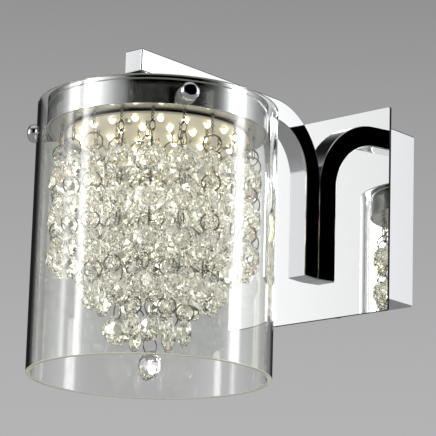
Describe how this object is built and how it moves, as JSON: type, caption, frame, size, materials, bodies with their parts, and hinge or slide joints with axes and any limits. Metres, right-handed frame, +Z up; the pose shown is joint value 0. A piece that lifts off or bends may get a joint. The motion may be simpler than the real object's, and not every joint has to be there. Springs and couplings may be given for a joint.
{
  "type": "crystal wall sconce",
  "caption": "Wall light: a square arm on a mirror-polished plate carries a round pan, a clear glass cylinder and stepped strands of octagon crystals lit from above.",
  "frame": {"origin": "centre of the two wall slots, on the wall plane behind the box", "axes": "+Z up, +Y into the wall, +X to the right seen from the room"},
  "size_m": [0.1223, 0.2135, 0.1632],
  "materials": {
    "chrome": "polished chrome plate",
    "mirror_steel": "mirror-polished steel",
    "zinc_steel": "zinc-plated steel",
    "satin_steel": "satin steel",
    "board_cream": "matt white solder mask, warm in the lamp's own light",
    "lit_chip": "lit warm white LED",
    "ring_wire": "bright nickel wire",
    "crystal": "cut and polished clear crystal with bright nickel rings",
    "clear_glass": "clear glass with a pale green edge",
    "clear_silicone": "clear silicone",
    "driver_case": "white moulded case",
    "terminal_white": "white polyamide",
    "lead_sheath": "white flexible sheath"
  },
  "bodies": {
    "fixture": {"wall_bracket": "zinc_steel", "wall_box": "chrome", "box_screws": "chrome", "mirror_plate": "mirror_steel", "led_driver": "driver_case", "terminal_block": "terminal_white", "arm": "chrome", "arm_bolts": "zinc_steel", "neck": "chrome", "pan": "chrome", "plate_fixings": "zinc_steel", "hanger_plate": "satin_steel", "led_board": "board_cream", "led_chips": "lit_chip", "strand_hooks": "ring_wire", "glass_cylinder": "clear_glass", "glass_bushes": "clear_silicone", "leads": "lead_sheath"},
    "thumbscrew_right": {"thumbscrew_right": "chrome"},
    "thumbscrew_left": {"thumbscrew_left": "chrome"},
    "thumbscrew_back": {"thumbscrew_back": "chrome"},
    "strand_outer_01": {"strand_outer_01": "crystal"},
    "strand_outer_02": {"strand_outer_02": "crystal"},
    "strand_outer_03": {"strand_outer_03": "crystal"},
    "strand_outer_04": {"strand_outer_04": "crystal"},
    "strand_outer_05": {"strand_outer_05": "crystal"},
    "strand_outer_06": {"strand_outer_06": "crystal"},
    "strand_outer_07": {"strand_outer_07": "crystal"},
    "strand_outer_08": {"strand_outer_08": "crystal"},
    "strand_outer_09": {"strand_outer_09": "crystal"},
    "strand_outer_10": {"strand_outer_10": "crystal"},
    "strand_outer_11": {"strand_outer_11": "crystal"},
    "strand_outer_12": {"strand_outer_12": "crystal"},
    "strand_outer_13": {"strand_outer_13": "crystal"},
    "strand_outer_14": {"strand_outer_14": "crystal"},
    "strand_outer_15": {"strand_outer_15": "crystal"},
    "strand_outer_16": {"strand_outer_16": "crystal"},
    "strand_outer_17": {"strand_outer_17": "crystal"},
    "strand_outer_18": {"strand_outer_18": "crystal"},
    "strand_outer_19": {"strand_outer_19": "crystal"},
    "strand_outer_20": {"strand_outer_20": "crystal"},
    "strand_middle_01": {"strand_middle_01": "crystal"},
    "strand_middle_02": {"strand_middle_02": "crystal"},
    "strand_middle_03": {"strand_middle_03": "crystal"},
    "strand_middle_04": {"strand_middle_04": "crystal"},
    "strand_middle_05": {"strand_middle_05": "crystal"},
    "strand_middle_06": {"strand_middle_06": "crystal"},
    "strand_middle_07": {"strand_middle_07": "crystal"},
    "strand_middle_08": {"strand_middle_08": "crystal"},
    "strand_middle_09": {"strand_middle_09": "crystal"},
    "strand_middle_10": {"strand_middle_10": "crystal"},
    "strand_middle_11": {"strand_middle_11": "crystal"},
    "strand_middle_12": {"strand_middle_12": "crystal"},
    "strand_inner_1": {"strand_inner_1": "crystal"},
    "strand_inner_2": {"strand_inner_2": "crystal"},
    "strand_inner_3": {"strand_inner_3": "crystal"},
    "strand_inner_4": {"strand_inner_4": "crystal"},
    "strand_inner_5": {"strand_inner_5": "crystal"},
    "strand_inner_6": {"strand_inner_6": "crystal"},
    "strand_centre": {"strand_centre": "crystal"}
  },
  "joints": [
    {"name": "thumbscrew_right_draw", "type": "slide", "parent": "fixture", "child": "thumbscrew_right", "axis": [0.8251, -0.565, 0], "range_m": [0, 0.012]},
    {"name": "thumbscrew_left_draw", "type": "slide", "parent": "fixture", "child": "thumbscrew_left", "axis": [-0.9018, -0.4321, 0], "range_m": [0, 0.012]},
    {"name": "thumbscrew_back_draw", "type": "slide", "parent": "fixture", "child": "thumbscrew_back", "axis": [0.0767, 0.9971, 0], "range_m": [0, 0.012]},
    {"name": "strand_outer_01_sway", "type": "hinge", "parent": "fixture", "child": "strand_outer_01", "pos_m": [0.00301, -0.20141, 0.0069], "axis": [0, 1, 0], "range_deg": [-2, 2]},
    {"name": "strand_outer_02_sway", "type": "hinge", "parent": "fixture", "child": "strand_outer_02", "pos_m": [0.01767, -0.19813, 0.0069], "axis": [0, 1, 0], "range_deg": [-2, 2]},
    {"name": "strand_outer_03_sway", "type": "hinge", "parent": "fixture", "child": "strand_outer_03", "pos_m": [0.0306, -0.19048, 0.0069], "axis": [0, 1, 0], "range_deg": [-2, 2]},
    {"name": "strand_outer_04_sway", "type": "hinge", "parent": "fixture", "child": "strand_outer_04", "pos_m": [0.04053, -0.17922, 0.0069], "axis": [0, 1, 0], "range_deg": [-2, 2]},
    {"name": "strand_outer_05_sway", "type": "hinge", "parent": "fixture", "child": "strand_outer_05", "pos_m": [0.04649, -0.16544, 0.0069], "axis": [0, 1, 0], "range_deg": [-2, 2]},
    {"name": "strand_outer_06_sway", "type": "hinge", "parent": "fixture", "child": "strand_outer_06", "pos_m": [0.04791, -0.15049, 0.0069], "axis": [0, 1, 0], "range_deg": [-2, 2]},
    {"name": "strand_outer_07_sway", "type": "hinge", "parent": "fixture", "child": "strand_outer_07", "pos_m": [0.04463, -0.13583, 0.0069], "axis": [0, 1, 0], "range_deg": [-2, 2]},
    {"name": "strand_outer_08_sway", "type": "hinge", "parent": "fixture", "child": "strand_outer_08", "pos_m": [0.03698, -0.1229, 0.0069], "axis": [0, 1, 0], "range_deg": [-2, 2]},
    {"name": "strand_outer_09_sway", "type": "hinge", "parent": "fixture", "child": "strand_outer_09", "pos_m": [0.02572, -0.11297, 0.0069], "axis": [0, 1, 0], "range_deg": [-2, 2]},
    {"name": "strand_outer_10_sway", "type": "hinge", "parent": "fixture", "child": "strand_outer_10", "pos_m": [0.01194, -0.10701, 0.0069], "axis": [0, 1, 0], "range_deg": [-2, 2]},
    {"name": "strand_outer_11_sway", "type": "hinge", "parent": "fixture", "child": "strand_outer_11", "pos_m": [-0.00301, -0.10559, 0.0069], "axis": [0, 1, 0], "range_deg": [-2, 2]},
    {"name": "strand_outer_12_sway", "type": "hinge", "parent": "fixture", "child": "strand_outer_12", "pos_m": [-0.01767, -0.10887, 0.0069], "axis": [0, 1, 0], "range_deg": [-2, 2]},
    {"name": "strand_outer_13_sway", "type": "hinge", "parent": "fixture", "child": "strand_outer_13", "pos_m": [-0.0306, -0.11651, 0.0069], "axis": [0, 1, 0], "range_deg": [-2, 2]},
    {"name": "strand_outer_14_sway", "type": "hinge", "parent": "fixture", "child": "strand_outer_14", "pos_m": [-0.04053, -0.12778, 0.0069], "axis": [0, 1, 0], "range_deg": [-2, 2]},
    {"name": "strand_outer_15_sway", "type": "hinge", "parent": "fixture", "child": "strand_outer_15", "pos_m": [-0.04649, -0.14156, 0.0069], "axis": [0, 1, 0], "range_deg": [-2, 2]},
    {"name": "strand_outer_16_sway", "type": "hinge", "parent": "fixture", "child": "strand_outer_16", "pos_m": [-0.04791, -0.15651, 0.0069], "axis": [0, 1, 0], "range_deg": [-2, 2]},
    {"name": "strand_outer_17_sway", "type": "hinge", "parent": "fixture", "child": "strand_outer_17", "pos_m": [-0.04463, -0.17117, 0.0069], "axis": [0, 1, 0], "range_deg": [-2, 2]},
    {"name": "strand_outer_18_sway", "type": "hinge", "parent": "fixture", "child": "strand_outer_18", "pos_m": [-0.03698, -0.1841, 0.0069], "axis": [0, 1, 0], "range_deg": [-2, 2]},
    {"name": "strand_outer_19_sway", "type": "hinge", "parent": "fixture", "child": "strand_outer_19", "pos_m": [-0.02572, -0.19403, 0.0069], "axis": [0, 1, 0], "range_deg": [-2, 2]},
    {"name": "strand_outer_20_sway", "type": "hinge", "parent": "fixture", "child": "strand_outer_20", "pos_m": [-0.01194, -0.19999, 0.0069], "axis": [0, 1, 0], "range_deg": [-2, 2]},
    {"name": "strand_middle_01_sway", "type": "hinge", "parent": "fixture", "child": "strand_middle_01", "pos_m": [0.00195, -0.18444, 0.0084], "axis": [0, 1, 0], "range_deg": [-2, 2]},
    {"name": "strand_middle_02_sway", "type": "hinge", "parent": "fixture", "child": "strand_middle_02", "pos_m": [0.01716, -0.17932, 0.0084], "axis": [0, 1, 0], "range_deg": [-2, 2]},
    {"name": "strand_middle_03_sway", "type": "hinge", "parent": "fixture", "child": "strand_middle_03", "pos_m": [0.02777, -0.16728, 0.0084], "axis": [0, 1, 0], "range_deg": [-2, 2]},
    {"name": "strand_middle_04_sway", "type": "hinge", "parent": "fixture", "child": "strand_middle_04", "pos_m": [0.03094, -0.15155, 0.0084], "axis": [0, 1, 0], "range_deg": [-2, 2]},
    {"name": "strand_middle_05_sway", "type": "hinge", "parent": "fixture", "child": "strand_middle_05", "pos_m": [0.02582, -0.13634, 0.0084], "axis": [0, 1, 0], "range_deg": [-2, 2]},
    {"name": "strand_middle_06_sway", "type": "hinge", "parent": "fixture", "child": "strand_middle_06", "pos_m": [0.01378, -0.12573, 0.0084], "axis": [0, 1, 0], "range_deg": [-2, 2]},
    {"name": "strand_middle_07_sway", "type": "hinge", "parent": "fixture", "child": "strand_middle_07", "pos_m": [-0.00195, -0.12256, 0.0084], "axis": [0, 1, 0], "range_deg": [-2, 2]},
    {"name": "strand_middle_08_sway", "type": "hinge", "parent": "fixture", "child": "strand_middle_08", "pos_m": [-0.01716, -0.12768, 0.0084], "axis": [0, 1, 0], "range_deg": [-2, 2]},
    {"name": "strand_middle_09_sway", "type": "hinge", "parent": "fixture", "child": "strand_middle_09", "pos_m": [-0.02777, -0.13972, 0.0084], "axis": [0, 1, 0], "range_deg": [-2, 2]},
    {"name": "strand_middle_10_sway", "type": "hinge", "parent": "fixture", "child": "strand_middle_10", "pos_m": [-0.03094, -0.15545, 0.0084], "axis": [0, 1, 0], "range_deg": [-2, 2]},
    {"name": "strand_middle_11_sway", "type": "hinge", "parent": "fixture", "child": "strand_middle_11", "pos_m": [-0.02582, -0.17066, 0.0084], "axis": [0, 1, 0], "range_deg": [-2, 2]},
    {"name": "strand_middle_12_sway", "type": "hinge", "parent": "fixture", "child": "strand_middle_12", "pos_m": [-0.01378, -0.18127, 0.0084], "axis": [0, 1, 0], "range_deg": [-2, 2]},
    {"name": "strand_inner_1_sway", "type": "hinge", "parent": "fixture", "child": "strand_inner_1", "pos_m": [0.00275, -0.16977, 0.0099], "axis": [0, 1, 0], "range_deg": [-2, 2]},
    {"name": "strand_inner_2_sway", "type": "hinge", "parent": "fixture", "child": "strand_inner_2", "pos_m": [0.01546, -0.15925, 0.0099], "axis": [0, 1, 0], "range_deg": [-2, 2]},
    {"name": "strand_inner_3_sway", "type": "hinge", "parent": "fixture", "child": "strand_inner_3", "pos_m": [0.01271, -0.14298, 0.0099], "axis": [0, 1, 0], "range_deg": [-2, 2]},
    {"name": "strand_inner_4_sway", "type": "hinge", "parent": "fixture", "child": "strand_inner_4", "pos_m": [-0.00275, -0.13723, 0.0099], "axis": [0, 1, 0], "range_deg": [-2, 2]},
    {"name": "strand_inner_5_sway", "type": "hinge", "parent": "fixture", "child": "strand_inner_5", "pos_m": [-0.01546, -0.14775, 0.0099], "axis": [0, 1, 0], "range_deg": [-2, 2]},
    {"name": "strand_inner_6_sway", "type": "hinge", "parent": "fixture", "child": "strand_inner_6", "pos_m": [-0.01271, -0.16402, 0.0099], "axis": [0, 1, 0], "range_deg": [-2, 2]},
    {"name": "strand_centre_sway", "type": "hinge", "parent": "fixture", "child": "strand_centre", "pos_m": [0, -0.1535, 0.0125], "axis": [0, 1, 0], "range_deg": [-2, 2]}
  ],
  "couplings": [
    {"joint": "strand_outer_01_sway", "follows": "strand_centre_sway", "ratio": 1},
    {"joint": "strand_outer_02_sway", "follows": "strand_centre_sway", "ratio": 1},
    {"joint": "strand_outer_03_sway", "follows": "strand_centre_sway", "ratio": 1},
    {"joint": "strand_outer_04_sway", "follows": "strand_centre_sway", "ratio": 1},
    {"joint": "strand_outer_05_sway", "follows": "strand_centre_sway", "ratio": 1},
    {"joint": "strand_outer_06_sway", "follows": "strand_centre_sway", "ratio": 1},
    {"joint": "strand_outer_07_sway", "follows": "strand_centre_sway", "ratio": 1},
    {"joint": "strand_outer_08_sway", "follows": "strand_centre_sway", "ratio": 1},
    {"joint": "strand_outer_09_sway", "follows": "strand_centre_sway", "ratio": 1},
    {"joint": "strand_outer_10_sway", "follows": "strand_centre_sway", "ratio": 1},
    {"joint": "strand_outer_11_sway", "follows": "strand_centre_sway", "ratio": 1},
    {"joint": "strand_outer_12_sway", "follows": "strand_centre_sway", "ratio": 1},
    {"joint": "strand_outer_13_sway", "follows": "strand_centre_sway", "ratio": 1},
    {"joint": "strand_outer_14_sway", "follows": "strand_centre_sway", "ratio": 1},
    {"joint": "strand_outer_15_sway", "follows": "strand_centre_sway", "ratio": 1},
    {"joint": "strand_outer_16_sway", "follows": "strand_centre_sway", "ratio": 1},
    {"joint": "strand_outer_17_sway", "follows": "strand_centre_sway", "ratio": 1},
    {"joint": "strand_outer_18_sway", "follows": "strand_centre_sway", "ratio": 1},
    {"joint": "strand_outer_19_sway", "follows": "strand_centre_sway", "ratio": 1},
    {"joint": "strand_outer_20_sway", "follows": "strand_centre_sway", "ratio": 1},
    {"joint": "strand_middle_01_sway", "follows": "strand_centre_sway", "ratio": 1},
    {"joint": "strand_middle_02_sway", "follows": "strand_centre_sway", "ratio": 1},
    {"joint": "strand_middle_03_sway", "follows": "strand_centre_sway", "ratio": 1},
    {"joint": "strand_middle_04_sway", "follows": "strand_centre_sway", "ratio": 1},
    {"joint": "strand_middle_05_sway", "follows": "strand_centre_sway", "ratio": 1},
    {"joint": "strand_middle_06_sway", "follows": "strand_centre_sway", "ratio": 1},
    {"joint": "strand_middle_07_sway", "follows": "strand_centre_sway", "ratio": 1},
    {"joint": "strand_middle_08_sway", "follows": "strand_centre_sway", "ratio": 1},
    {"joint": "strand_middle_09_sway", "follows": "strand_centre_sway", "ratio": 1},
    {"joint": "strand_middle_10_sway", "follows": "strand_centre_sway", "ratio": 1},
    {"joint": "strand_middle_11_sway", "follows": "strand_centre_sway", "ratio": 1},
    {"joint": "strand_middle_12_sway", "follows": "strand_centre_sway", "ratio": 1},
    {"joint": "strand_inner_1_sway", "follows": "strand_centre_sway", "ratio": 1},
    {"joint": "strand_inner_2_sway", "follows": "strand_centre_sway", "ratio": 1},
    {"joint": "strand_inner_3_sway", "follows": "strand_centre_sway", "ratio": 1},
    {"joint": "strand_inner_4_sway", "follows": "strand_centre_sway", "ratio": 1},
    {"joint": "strand_inner_5_sway", "follows": "strand_centre_sway", "ratio": 1},
    {"joint": "strand_inner_6_sway", "follows": "strand_centre_sway", "ratio": 1}
  ]
}
